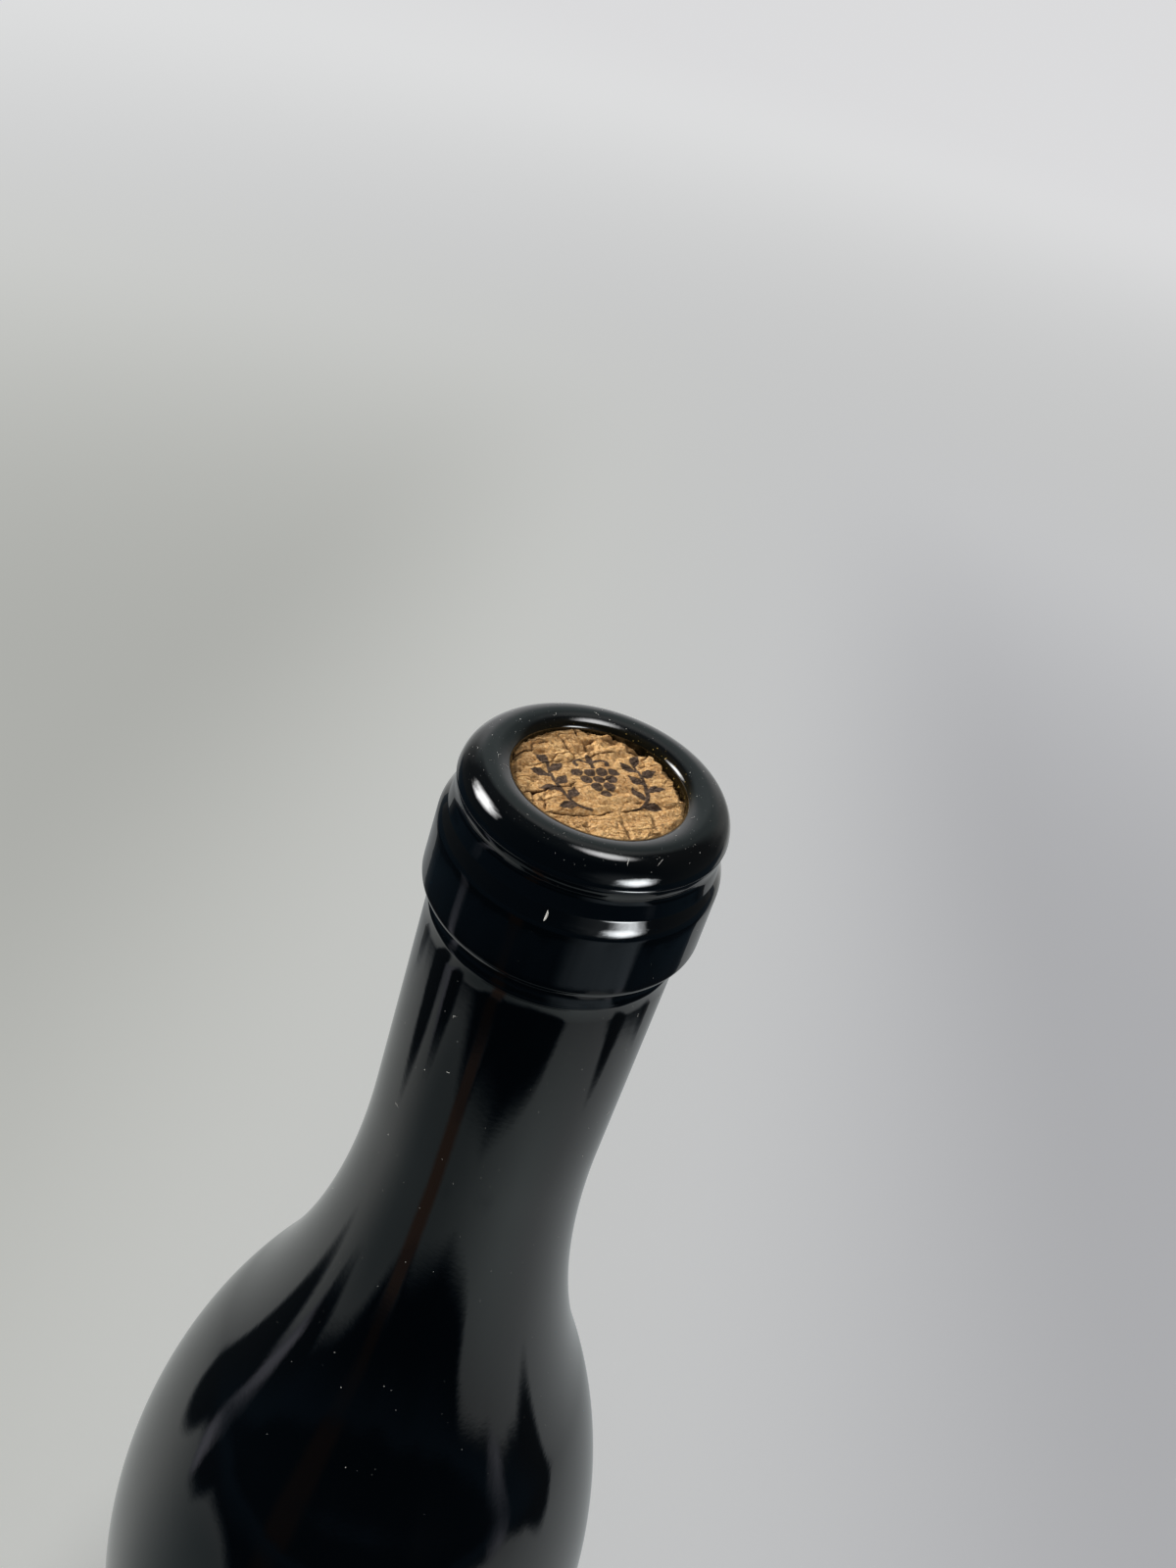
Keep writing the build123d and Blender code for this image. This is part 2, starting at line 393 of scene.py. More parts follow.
def grooves(points, strokes, taper):
    """Depth cut by V-shaped strokes that fade out at their ends."""
    depth = np.zeros(len(points))
    for stroke in strokes:
        distance, share = along(points, stroke)
        open_share = np.minimum(1, np.minimum(share, 1 - share) / taper + 0.25)
        cut = stroke[5] * open_share * np.exp(-((distance / (stroke[4] * open_share)) ** 2))
        depth = np.maximum(depth, cut)
    return depth


def ring_axes(x, y):
    """Places along and across the cork's growth rings."""
    bearing = radians(GRAIN_BEARING)
    return x * cos(bearing) + y * sin(bearing), -x * sin(bearing) + y * cos(bearing)


def crumbled(s, t, flat):
    """Where the cork's end is crumbled instead of cut clean, from 0 to 1."""
    rough = ease(2.0, 5.0, t + 0.6 * noise(flat, 2, 15)) + 0.8 * ease(4.5, 7.5, -s) * ease(-5, -2, t)
    return np.clip(rough + 0.5 * ease(6.5, 8.5, s), 0, 1)


def chipped(x, y, flat):
    """Where pieces have broken from the cork's rim at the back, from 0 to 1."""
    azimuth = np.degrees(np.arctan2(x, -y))
    jagged = 0.45 * noise(flat, 0.9, 26) + 0.15 * noise(flat, 0.35, 30)
    at_rim = ease(BORE_RADIUS - 1.05, BORE_RADIUS - 0.75, np.hypot(x, y) + jagged)
    return ease(95, 112, azimuth) * ease(172, 150, azimuth) * at_rim


def swells(flat, grain, rough, wrinkle):
    """Height of the cork's end before it cracks: broad waves, a step between rings, lumps and grain."""
    height = 0.16 * noise(flat, 3.2, 16) + 0.15 * noise(grain, (2.6, 0.9, 1), 17)
    t = grain[:, 1]
    height += 0.18 * ease(-4.5, -4.0, t - 0.1 * noise(flat, 1, 18)) * ease(4.0, -1.0, t)
    broken = 0.27 * noise(grain, (1.5, 0.7, 1), 28) + 0.10 * noise(flat, 0.45, 20)
    height += rough * (broken - 0.26 * wrinkle) - 0.08 * (1 - rough) * wrinkle
    height += 0.07 * noise(grain, (0.9, 0.45, 1), 29) + 0.035 * noise(grain, (0.35, 0.2, 1), 21)
    height += 0.018 * noise(flat, 0.16, 22)
    for lump_x, lump_y, radius, rise in LUMPS:
        height += rise * np.exp(-((flat[:, 0] - lump_x) ** 2 + (flat[:, 1] - lump_y) ** 2) / radius**2)
    return height


def cork_end(x, y):
    """Height of the cork's end over its flat top at each (x, y), and the marks that colour it: painted
    shade in its cracks, creases, furrows and pits, and the ink of the print.
    """
    flat = np.stack([x, y, np.zeros_like(x)], -1)
    s, t = ring_axes(x, y)
    grain = np.stack([s, t, np.zeros_like(s)], -1)
    wander = 0.22 * np.stack([noise(flat, 1.3, 11), noise(flat, 1.3, 12)], -1)
    wander += 0.07 * np.stack([noise(flat, 0.4, 13), noise(flat, 0.4, 14)], -1)
    crack = grooves(flat[:, :2] + wander, CRACKS, 0.3)
    furrow = grooves(flat[:, :2] + wander, FURROWS, 0.4)
    rough = crumbled(s, t, flat)
    fold = noise(grain + 0.3 * noise(flat, 0.9, 27)[:, None], (2.2, 0.9, 1), 19)
    wrinkle = np.exp(-((fold / 0.13) ** 2))
    pits = ease(0.55, 0.8, noise(grain, (0.5, 0.22, 1), 23)) * ease(-0.2, 0.5, noise(flat, 2.5, 24))
    edge = ease(BORE_RADIUS - 0.5, BORE_RADIUS, np.hypot(x, y) + 0.15 * noise(flat, 0.8, 25))

    height = swells(flat, grain, rough, wrinkle) - CORK_SINK
    height -= CRACK_GAIN * crack + FURROW_GAIN * furrow + PIT_DEPTH * pits
    height -= EDGE_DROP * edge + CHIP_DEPTH * chipped(x, y, flat)
    # Painted shade, kept in the mark named crack: darker in the cracks, creases, furrows and pits, where
    # shade falls.
    shade = 0.85 * wrinkle * (0.15 + 0.6 * rough) + np.clip(crack / 0.22, 0, 1)
    shade += 0.35 * np.clip(furrow / 0.2, 0, 1) + 0.5 * pits
    marks = {"crack": np.clip(shade, 0, 1), "ink": print_ink(flat[:, :2] + 0.5 * wander)}
    return np.minimum(height, -0.01), marks


def cork_side(top, rim):
    """Points and faces that close the cork below its end: a straight side and a flat foot."""
    sides = []
    for drop in (*CORK_RINGS, CORK_TOP - CORK_FOOT - CORK_GAP):
        side = top[rim]
        side[:, 2] = CORK_TOP - drop
        sides.append(side)
    rings = [rim] + [len(top) + i * len(rim) + np.arange(len(rim)) for i in range(len(sides))]
    faces = []
    for upper, lower in zip(rings[:-1], rings[1:]):
        faces += np.stack([upper, lower, np.roll(lower, -1), np.roll(upper, -1)], -1).tolist()
    last = rings[-1]
    centre = np.full_like(last, len(top) + len(sides) * len(rim))
    faces += np.stack([last, centre, np.roll(last, -1)], -1).tolist()
    return np.concatenate([*sides, [[0, 0, CORK_FOOT + CORK_GAP]]]), faces


def make_cork():
    """The cork: a relief of rings, cracks and lumps on top, and a plain straight side below it."""
    x, y, quads, rim = disc_grid(CORK_CELLS, BORE_RADIUS)
    height, marks = cork_end(x, y)
    top = np.stack([x, y, CORK_TOP + height], -1)
    below, faces = cork_side(top, rim)
    marks = {name: np.pad(values, (0, len(below))) for name, values in marks.items()}
    return new_mesh("cork_stopper", np.concatenate([top, below]), quads.tolist() + faces, **marks)


# --- The printed ornament ---

PRINT_CENTRE = (0.1, -0.1)
PRINT_BEARING = 29.0
PRINT_SCALE = 1.1
GRAPE_RADIUS, GRAPE_PITCH = 0.60, 1.25
GRAPE_DROP, BUNCH_TOP = 0.87 * GRAPE_PITCH, 1.55
LEAF_LENGTH, LEAF_BOW = 2.0, 0.25
LEAF_HALF_WIDTHS = (0.12, 0.56, 0.06)
INK_EDGE = 0.06


def bezier(a, b, c, d, count=14):
    """Points along a cubic curve."""
    share = np.linspace(0, 1, count)[:, None]
    a, b, c, d = (np.array(p, float) for p in (a, b, c, d))
    first = (1 - share) ** 3 * a + 3 * (1 - share) ** 2 * share * b
    return first + 3 * (1 - share) * share**2 * c + share**3 * d


def leaf(foot, bearing):
    """A pointed leaf as a curve that swells in its middle."""
    way = np.array([cos(radians(bearing)), sin(radians(bearing))])
    side = np.array([-way[1], way[0]]) * LEAF_BOW
    foot = np.array(foot)
    rib = bezier(foot, foot + 0.3 * LEAF_LENGTH * way + side, foot + 0.7 * LEAF_LENGTH * way + side,
                 foot + LEAF_LENGTH * way)
    return rib, *LEAF_HALF_WIDTHS


def grapes():
    """A bunch that narrows downwards, as centres of its right half: rows of four, three, two and one."""
    rows = [(0.5, 1.5), (0.0, 1.0), (0.5,), (0.0,)]
    return [(GRAPE_PITCH * step, BUNCH_TOP - GRAPE_DROP * row)
            for row, steps in enumerate(rows) for step in steps]


def print_strokes():
    """The right half of the mirrored print: curves and their half widths at the start, middle and end."""
    stalk = bezier((0.0, 2.3), (0.0, 2.9), (0.0, 3.5), (0.0, 4.1))
    tendril = bezier((0.0, 3.0), (0.9, 3.9), (1.9, 3.6), (1.6, 2.9))
    stem = bezier((2.1, -3.9), (4.3, -3.6), (4.9, -0.4), (4.4, 3.9))
    leaves = [leaf((3.2, -3.4), -8), leaf((3.9, -2.4), 118), leaf((4.4, -1.3), 12), leaf((4.6, -0.2), 138)]
    leaves += [leaf((4.7, 0.9), 30), leaf((4.6, 1.9), 140), leaf((4.45, 2.7), 62)]
    return [(stalk, 0.20, 0.24, 0.32), (tendril, 0.20, 0.15, 0.26), (stem, 0.14, 0.24, 0.12), *leaves]


def print_ink(points):
    """How much ink lies at each (x, y) point of the cork's end, from 0 to 1."""
    bearing = radians(PRINT_BEARING)
    shifted = (points - PRINT_CENTRE) / PRINT_SCALE
    u = np.abs(shifted @ (cos(bearing), sin(bearing)))
    v = shifted @ (-sin(bearing), cos(bearing))
    local = np.stack([u, v], -1)
    nearest = np.full(len(points), BORE_RADIUS)
    for curve, *half_widths in print_strokes():
        widths = np.interp(np.linspace(0, 1, len(curve)), (0, 0.5, 1), half_widths)
        for i in range(len(curve) - 1):
            distance, share = along(local, (*curve[i], *curve[i + 1]))
            nearest = np.minimum(nearest, distance - widths[i] - share * (widths[i + 1] - widths[i]))
    for grape_u, grape_v in grapes():
        nearest = np.minimum(nearest, np.hypot(u - grape_u, v - grape_v) - GRAPE_RADIUS)
    return ease(INK_EDGE, -INK_EDGE, nearest)


# --- Dust ---

DUST_SEED = 7
LIP_FLAKES, LIP_FLAKE_RADII = 170, (9.9, 14.0)
SIDE_FLAKES, SIDE_FLAKE_DEPTHS = 330, (9, 110)
LIP_LINT, LIP_LINT_RADII, LIP_LINT_LENGTHS, LIP_LINT_WIDTH = 14, (10.0, 13.4), (0.4, 0.9), 0.017
SIDE_LINT, SIDE_LINT_DEPTHS, SIDE_LINT_LENGTHS, SIDE_LINT_WIDTH = 10, (9, 60), (0.4, 1.0), 0.022
FLAKE_CORNERS, FLAKE_SIZE, FLAKE_SPREAD = 5, 0.030, 0.060
LINT_STEPS, LINT_BEND, LINT_LIFT = 7, 0.35, 0.10
FLECK_AZIMUTH, FLECK_DEPTH, FLECK_BEARING = -3.0, 7.4, 88.0
FLECK_LENGTH, FLECK_WIDTH = 1.15, 0.11


def lip_height(radius):
    """Height of the lip's top at a radius."""
    if radius < CREST_RADIUS:
        return LIP_TOP - CROWN_ROUND + sqrt(CROWN_ROUND**2 - (radius - CREST_RADIUS) ** 2)
    return LIP_TOP - BEAD_ROUND + sqrt(max(BEAD_ROUND**2 - (radius - CREST_RADIUS) ** 2, 0))


def lip_place(radius, angle):
    """A point on the lip's top and its outward direction."""
    slope = (radius - CREST_RADIUS) / (BEAD_ROUND if radius > CREST_RADIUS else CROWN_ROUND)
    out = Vector((slope * cos(angle), slope * sin(angle), sqrt(1 - slope**2)))
    return Vector((radius * cos(angle), radius * sin(angle), lip_height(radius))), out


def side_radius(depth):
    """Radius of the bottle's outside at a depth below the groove."""
    outer = OUTLINE[np.argmax(OUTLINE[:, 1]):]
    return float(np.interp(-depth, (outer[:, 1] - LIP_TOP)[::-1], outer[:, 0][::-1]))


def side_place(depth, azimuth):
    """A point on the bottle's outside below the groove, and its outward direction."""
    level = direction(azimuth, 0)
    slope = (side_radius(depth + 0.05) - side_radius(depth - 0.05)) / 0.1
    place = side_radius(depth) * level + Vector((0, 0, LIP_TOP - depth))
    return place, (level + Vector((0, 0, slope))).normalized()


def flake(random, place, out):
    """A small uneven flake: points and faces."""
    size = FLAKE_SIZE + FLAKE_SPREAD * random.random() ** 2
    across = out.orthogonal().normalized()
    other = out.cross(across)
    points = []
    for k in range(FLAKE_CORNERS):
        angle = 2 * pi * k / FLAKE_CORNERS + random.uniform(-0.4, 0.4)
        corner = place + size * random.uniform(0.5, 1.2) * (cos(angle) * across + sin(angle) * other)
        points.append(corner - 0.01 * out)
    points += [place + 0.3 * size * out, place - 0.02 * out]
    rim = [(k, (k + 1) % FLAKE_CORNERS) for k in range(FLAKE_CORNERS)]
    faces = [(k, after, FLAKE_CORNERS) for k, after in rim]
    faces += [(after, k, FLAKE_CORNERS + 1) for k, after in rim]
    return points, faces


def lint(random, place, out, bearing, length, width):
    """A thin curved hair lying on the glass: points and faces."""
    along_rim = Vector((-place.y, place.x, 0)).normalized()
    way = Quaternion(out, radians(bearing)) @ along_rim
    bend = random.uniform(-LINT_BEND, LINT_BEND)
    points = []
    for i in range(LINT_STEPS + 1):
        share = i / LINT_STEPS
        drift = bend * length * sin(pi * share)
        middle = place + (share - 0.5) * length * way + drift * out.cross(way)
        middle += LINT_LIFT * length * share**2 * out
        thick = width * (1 - abs(2 * share - 1) ** 3 * 0.7)
        points += [middle + thick * out.cross(way), middle + thick * out, middle - thick * out.cross(way)]
    faces = [(0, 1, 2)]
    for row in range(0, 3 * LINT_STEPS, 3):
        faces += [(row + k, row + 3 + k, row + 3 + (k + 1) % 3, row + (k + 1) % 3) for k in range(3)]
    faces.append((3 * LINT_STEPS + 2, 3 * LINT_STEPS + 1, 3 * LINT_STEPS))
    return points, faces


def make_dust():
    """Small flakes on the lip, collar and neck, a few hairs of lint, and a pale fleck on the collar."""
    random = np.random.default_rng(DUST_SEED)
    bits = []
    for _ in range(LIP_FLAKES):
        place, out = lip_place(random.uniform(*LIP_FLAKE_RADII), random.uniform(0, 2 * pi))
        bits.append(flake(random, place, out))
    for _ in range(SIDE_FLAKES):
        place, out = side_place(random.uniform(*SIDE_FLAKE_DEPTHS), random.uniform(-180, 180))
        bits.append(flake(random, place, out))
    for _ in range(LIP_LINT):
        place, out = lip_place(random.uniform(*LIP_LINT_RADII), random.uniform(0, 2 * pi))
        bearing, length = random.uniform(0, 180), random.uniform(*LIP_LINT_LENGTHS)
        bits.append(lint(random, place, out, bearing, length, LIP_LINT_WIDTH))
    for _ in range(SIDE_LINT):
        place, out = side_place(random.uniform(*SIDE_LINT_DEPTHS), random.uniform(-180, 180))
        bearing, length = random.uniform(0, 180), random.uniform(*SIDE_LINT_LENGTHS)
        bits.append(lint(random, place, out, bearing, length, SIDE_LINT_WIDTH))
    place, out = side_place(FLECK_DEPTH, FLECK_AZIMUTH)
    bits.append(lint(random, place, out, FLECK_BEARING, FLECK_LENGTH, FLECK_WIDTH))
    points, faces = [], []
    for bit_points, bit_faces in bits:
        faces += [tuple(len(points) + k for k in face) for face in bit_faces]
        points += [(point.x, point.y, min(point.z, LIP_TOP)) for point in bit_points]
    return new_mesh("dust", points, faces)


# --- Materials ---

FILM_SHARE, SPECK_SHARE = 0.003, 0.09
LIP_SATIN, PEEL_HEIGHT, GLASS_IOR = 0.055, 0.0030, 1.52
CORK_GRAIN, CORK_ROUGHNESS, CORK_IOR = 0.28, 0.86, 1.35
DUST_ROUGHNESS = 0.9


class Graph:
    """Shorthand for building a node tree."""

    def __init__(self, owner):
        owner.use_nodes = True
        self.tree = owner.node_tree
        self.tree.nodes.clear()

    def node(self, kind, inputs=None, **settings):
        made = self.tree.nodes.new(kind)
        for name, value in settings.items():
            setattr(made, name, value)
        for name, value in (inputs or {}).items():
            self.put(value, made.inputs[name])
        return made

    def put(self, value, socket):
        if isinstance(value, bpy.types.NodeSocket):
            self.tree.links.new(value, socket)
        elif socket.type == "RGBA":
            socket.default_value = (*value, 1.0)
        else:
            socket.default_value = value

    def math(self, operation, *values):
        made = self.node("ShaderNodeMath", operation=operation)
        for value, socket in zip(values, made.inputs):
            self.put(value, socket)
        return made.outputs[0]

    def plus(self, first, second):
        return self.math("ADD", first, second)

    def minus(self, first, second):
        return self.math("SUBTRACT", first, second)

    def times(self, first, second):
        return self.math("MULTIPLY", first, second)

    def hypot(self, across, up):
        return self.math("SQRT", self.plus(self.times(across, across), self.times(up, up)))

    def ease(self, value, low, high, to_low=0.0, to_high=1.0):
        inputs = {"Value": value, "From Min": low, "From Max": high, "To Min": to_low, "To Max": to_high}
        return self.node("ShaderNodeMapRange", inputs, interpolation_type="SMOOTHSTEP").outputs["Result"]

    def mix(self, factor, first, second, blend="MIX"):
        made = self.node("ShaderNodeMix", data_type="RGBA", blend_type=blend)
        self.put(factor, made.inputs[0])
        self.put(first, made.inputs[6])
        self.put(second, made.inputs[7])
        return made.outputs[2]

    def noise(self, place, scale, detail=2.0, roughness=0.5):
        inputs = {"Vector": place, "Scale": scale, "Detail": detail, "Roughness": roughness}
        return self.node("ShaderNodeTexNoise", inputs).outputs["Fac"]

    def mark(self, name):
        return self.node("ShaderNodeAttribute", attribute_name=name).outputs["Fac"]

    def place(self):
        return self.node("ShaderNodeTexCoord").outputs["Object"]

    def split(self, vector):
        return self.node("ShaderNodeSeparateXYZ", {"Vector": vector}).outputs[:]

    def length(self, vector):
        return self.node("ShaderNodeVectorMath", {0: vector}, operation="LENGTH").outputs["Value"]


def surface(graph, base, roughness, **inputs):
    """Ends a material in a Principled shader."""
    inputs = {"Base Color": base, "Roughness": roughness, **inputs}
    shader = graph.node("ShaderNodeBsdfPrincipled", inputs)
    graph.node("ShaderNodeOutputMaterial", {"Surface": shader.outputs[0]})


def glass_colour(graph, place, lip, mouth, facing_up):
    """Almost black, brown and flecked with gold inside the mouth, with a dusty film and specks on top."""
    tint = graph.mix(graph.noise(place, 900, 3), (0.0012, 0.0011, 0.0006), (0.006, 0.0045, 0.0014))
    base = graph.mix(mouth, (0.0003, 0.0006, 0.0009), tint)
    film = graph.times(lip, graph.ease(graph.noise(place, 260, 4), 0.35, 0.7, 0.25, 1.0))
    base = graph.mix(graph.times(film, FILM_SHARE), base, (0.42, 0.46, 0.50))
    specks = graph.ease(graph.noise(place, 4200, 1), 0.73, 0.78)
    base = graph.mix(graph.times(specks, graph.times(facing_up, SPECK_SHARE)), base, (0.6, 0.6, 0.58))
    gold = graph.times(mouth, graph.ease(graph.noise(place, 3300, 1), 0.70, 0.76))
    gold = graph.times(gold, graph.ease(graph.split(place)[0], -2 * MM, 4 * MM, 0.15, 1.0))
    return graph.mix(gold, base, (0.30, 0.20, 0.05))


def glass_material():
    """Dark glass: polished, with a satin lip and the faint pebbling of its blown surface."""
    material = bpy.data.materials.new("dark_glass")
    graph = Graph(material)
    place = graph.place()
    x, y, z = graph.split(place)
    normal = graph.node("ShaderNodeNewGeometry").outputs["Normal"]
    facing_up = graph.ease(graph.split(normal)[2], 0.72, 1.0)
    near_lip = graph.ease(z, (LIP_TOP - 6) * MM, (LIP_TOP - 1) * MM)
    lip = graph.times(facing_up, near_lip)
    mouth = graph.times(graph.ease(graph.hypot(x, y), 10.2 * MM, 9.6 * MM), near_lip)
    base = glass_colour(graph, place, lip, mouth, facing_up)
    smear = graph.noise(place, 45, 3)
    roughness = graph.plus(graph.ease(smear, 0.3, 0.8, 0.03, 0.07), graph.times(lip, LIP_SATIN))
    drawn = graph.node("ShaderNodeMapping", {"Vector": place, "Scale": (1.0, 1.0, 0.12)}).outputs[0]
    grain = graph.plus(graph.noise(place, 1300, 2), graph.noise(drawn, 1700, 1))
    peel = graph.node("ShaderNodeBump", {"Height": grain, "Strength": 1.0, "Distance": PEEL_HEIGHT * MM})
    surface(graph, base, roughness, Normal=peel.outputs[0], IOR=GLASS_IOR)
    return material


def cork_colour(graph, place, grain):
    """Tan with darker rings, fibres and pores."""
    broad = graph.ease(graph.noise(place, 220, 2), 0.35, 0.65)
    rings = graph.ease(graph.noise(grain, 520, 3, 0.6), 0.35, 0.68)
    fine = graph.ease(graph.noise(place, 2700, 3, 0.7), 0.36, 0.64)
    drawn = graph.node("ShaderNodeMapping", {"Vector": grain, "Scale": (0.35, 1.0, 1.0)}).outputs[0]
    fibres = graph.ease(graph.noise(drawn, 1500, 2), 0.38, 0.62)
    pores = graph.ease(graph.noise(grain, 1500, 2), 0.60, 0.70)
    base = graph.mix(broad, (0.425, 0.232, 0.085), (0.545, 0.325, 0.128))
    base = graph.mix(graph.times(rings, 0.45), base, (0.27, 0.125, 0.042))
    base = graph.mix(graph.times(fine, 0.55), base, (0.66, 0.46, 0.24))
    base = graph.mix(graph.times(fibres, 0.38), base, (0.24, 0.115, 0.040))
    return graph.mix(graph.times(pores, 0.65), base, (0.14, 0.052, 0.018))


def cork_material():
    """Natural cork, with painted shade in its cracks, creases, furrows and pits, and worn dark brown ink
    for the print.
    """
    material = bpy.data.materials.new("natural_cork")
    graph = Graph(material)
    place = graph.place()
    turn = {"Vector": place, "Rotation": (0, 0, radians(-GRAIN_BEARING)), "Scale": (1.0, 2.6, 1.0)}
    grain = graph.node("ShaderNodeMapping", turn).outputs[0]
    # Painted shade: dark brown wherever the crack mark lies, in the cracks, creases, furrows and pits.
    base = graph.mix(graph.mark("crack"), cork_colour(graph, place, grain), (0.045, 0.016, 0.007))
    wear = graph.ease(graph.noise(place, 1500, 3), 0.25, 0.45, 0.82, 0.97)
    faded = graph.ease(graph.noise(place, 2500, 2), 0.4, 0.7)
    inked = graph.mix(faded, (0.034, 0.023, 0.018), (0.070, 0.048, 0.036))
    base = graph.mix(graph.times(graph.mark("ink"), wear), base, inked)
    height = graph.plus(graph.noise(place, 3000, 3, 0.7), graph.noise(grain, 1300, 2))
    bump = graph.node("ShaderNodeBump", {"Height": height, "Strength": 1.0, "Distance": CORK_GRAIN * MM})
    surface(graph, base, CORK_ROUGHNESS, Normal=bump.outputs[0], IOR=CORK_IOR)
    return material


def dust_material():
    """Matt grey dust, some bits paler than others."""
    material = bpy.data.materials.new("grey_dust")
    graph = Graph(material)
    shade = graph.mix(graph.noise(graph.place(), 700, 1), (0.20, 0.19, 0.165), (0.56, 0.55, 0.52))
    surface(graph, shade, DUST_ROUGHNESS)
    return material


# --- Stage ---

FLOOR_RADIUS, FLOOR_RINGS, FLOOR_TURNS = 14000.0, 30, 96
MIRRORED_FLOOR_RADIUS, MIRRORED_FLOOR_TURNS = 1200.0, 64
FLOOR_GAP, MIRRORED_FLOOR_GAP = 0.2, 0.1
FLOOR_GLOW = 0.44
BACKDROP = (0.71, 0.71, 0.72)
AMBIENT = (0.16, 0.16, 0.1616)
CARD_AWAY, CARD_FOOT, CARD_TOP = 170.0, 132.0, 206.0
CARD_LOW_AZIMUTH, CARD_HIGH_AZIMUTH, CARD_STRIPS = 10.0, 73.0, 14
LAMP_AWAY = 1500.0

# Holes in the mirrored sheet: azimuth and distance of the middle, then half sizes, in degrees and metres
SHEET_HOLES = (
    ((-90, 0.305), (9, 0.075)),
    ((90, 0.315), (8, 0.065)),
)

# Upright streaks in the room, below the level: first and last azimuth, full elevation, colour
STREAKS = (
    (-32, -24, -34, (0.030, 0.017, 0.011)),
    (-81, -75, -32, (0.40, 0.40, 0.46)),
    (67, 72, -32, (0.40, 0.40, 0.46)),
)

# Windows and their glare: azimuth and elevation, half width and half height, softness, colour
WINDOWS = (
    ((-92, 26), (13.5, 11), 0.7, (24, 24, 24)),
    ((50, 1.5), (11, 9.5), 0.8, (23, 24, 24.5)),
    ((44, -10), (9, 6.5), 0.75, (2.6, 2.8, 2.9)),
    ((40, 6), (17, 17), 1.0, (0.30, 0.32, 0.33)),
)

# The ceiling light: azimuth and elevation, radius, softness, colour
CEILING_LIGHT = ((112, 78.5), 8.5, 0.7, (12, 12, 12))


def around(graph, x, y):
    """Azimuth in degrees: 0 towards -Y, 90 towards +X."""
    return graph.times(graph.math("ARCTAN2", x, graph.times(y, -1)), 180 / pi)


def span(graph, value, low, high, soft):
    """1 between low and high, falling to 0 over a soft width centred on each."""
    rise = graph.ease(value, low - soft / 2, low + soft / 2)
    return graph.times(rise, graph.ease(value, high + soft / 2, high - soft / 2))


def glow_patch(graph, azimuth, elevation, middle, half, softness):
    """1 inside an ellipse, given by its middle and half sizes, with a soft border."""
    across = graph.math("DIVIDE", graph.minus(azimuth, middle[0]), half[0])
    up = graph.math("DIVIDE", graph.minus(elevation, middle[1]), half[1])
    return graph.ease(graph.hypot(across, up), 1 + softness, 1 - softness)


def glow_disc(graph, way, middle, radius, softness):
    """1 inside a round patch of the sky, given by its middle and radius in degrees, with a soft border."""
    dot = graph.node("ShaderNodeVectorMath", {0: way, 1: direction(*middle)}, operation="DOT_PRODUCT")
    reach = graph.math("DIVIDE", graph.math("ARCCOSINE", dot.outputs["Value"]), radians(radius))
    return graph.ease(reach, 1 + softness, 1 - softness)


def glowing(graph, tone, shown):
    """Ends a material in a glow that is clear where it isn't shown."""
    glow = graph.node("ShaderNodeEmission", {"Color": tone}).outputs[0]
    clear = graph.node("ShaderNodeBsdfTransparent").outputs[0]
    mixed = graph.node("ShaderNodeMixShader", {0: shown, 1: clear, 2: glow}).outputs[0]
    graph.node("ShaderNodeOutputMaterial", {"Surface": mixed})


def only_mirrored(thing):
    """Leaves a thing to be seen in reflections and nowhere else."""
    for ray in ("camera", "diffuse", "shadow", "transmission"):
        setattr(thing, "visible_" + ray, False)


def floor_material():
    """Pale paint with a glow that fades into the backdrop far away, and painted light and shade that vary
    over the floor: lighter far off, painted shade to either side, a painted contact shadow round the
    bottle's foot, and a warmer tint on the left and a cooler one on the right for the colour of the light.
    """
    material = bpy.data.materials.new("pale_floor")
    graph = Graph(material)
    place = graph.place()
    away = graph.length(place)
    x, y, _ = graph.split(place)
    back = graph.ease(y, -0.30, 0.06)
    # Painted light: a warmer tint on the left and a cooler one on the right, plainer close behind the
    # bottle, for the colour of the light.
    tint = graph.mix(graph.ease(x, -0.25, 0.30), (1.0, 1.02, 0.945), (0.972, 0.984, 1.03))
    near = graph.times(back, graph.ease(away, 1.6, 0.4))
    tint = graph.mix(near, (0.985, 0.995, 0.995), tint)
    # Painted shade: a darker band to either side of the bottle, fading far away.
    aside = graph.math("ABSOLUTE", graph.minus(x, 0.01))
    painted_side_shade = graph.times(graph.ease(aside, 0.06, 0.25, 0.0, -0.135), graph.ease(away, 1.15, 0.45))
    # Painted light: the floor grows lighter far off.
    far = graph.ease(graph.minus(away, x), 0.5, 4.2, 0.0, 0.19)
    # Painted shadow: darker close round the bottle's foot.
    painted_contact_shadow = graph.plus(graph.ease(away, 0.080, 0.040, 0.0, -0.12),
                         graph.ease(away, 0.053, 0.041, 0.0, -0.16))
    # The glow: an even part, with the painted light and shade added.
    floor_glow_with_painted_light = graph.plus(graph.plus(FLOOR_GLOW, graph.times(painted_side_shade, back)), graph.plus(far, painted_contact_shadow))
    glow = graph.node("ShaderNodeEmission", {"Color": tint, "Strength": floor_glow_with_painted_light}).outputs[0]
    paint = graph.node("ShaderNodeBsdfDiffuse", {"Color": (0.70, 0.70, 0.70)}).outputs[0]
    both = graph.node("ShaderNodeAddShader", {0: glow, 1: paint}).outputs[0]
    sky = graph.node("ShaderNodeEmission", {"Color": BACKDROP}).outputs[0]
    mixed = graph.node("ShaderNodeMixShader", {0: graph.ease(away, 1.2, 6.0), 1: both, 2: sky}).outputs[0]
    graph.node("ShaderNodeOutputMaterial", {"Surface": mixed})
    return material


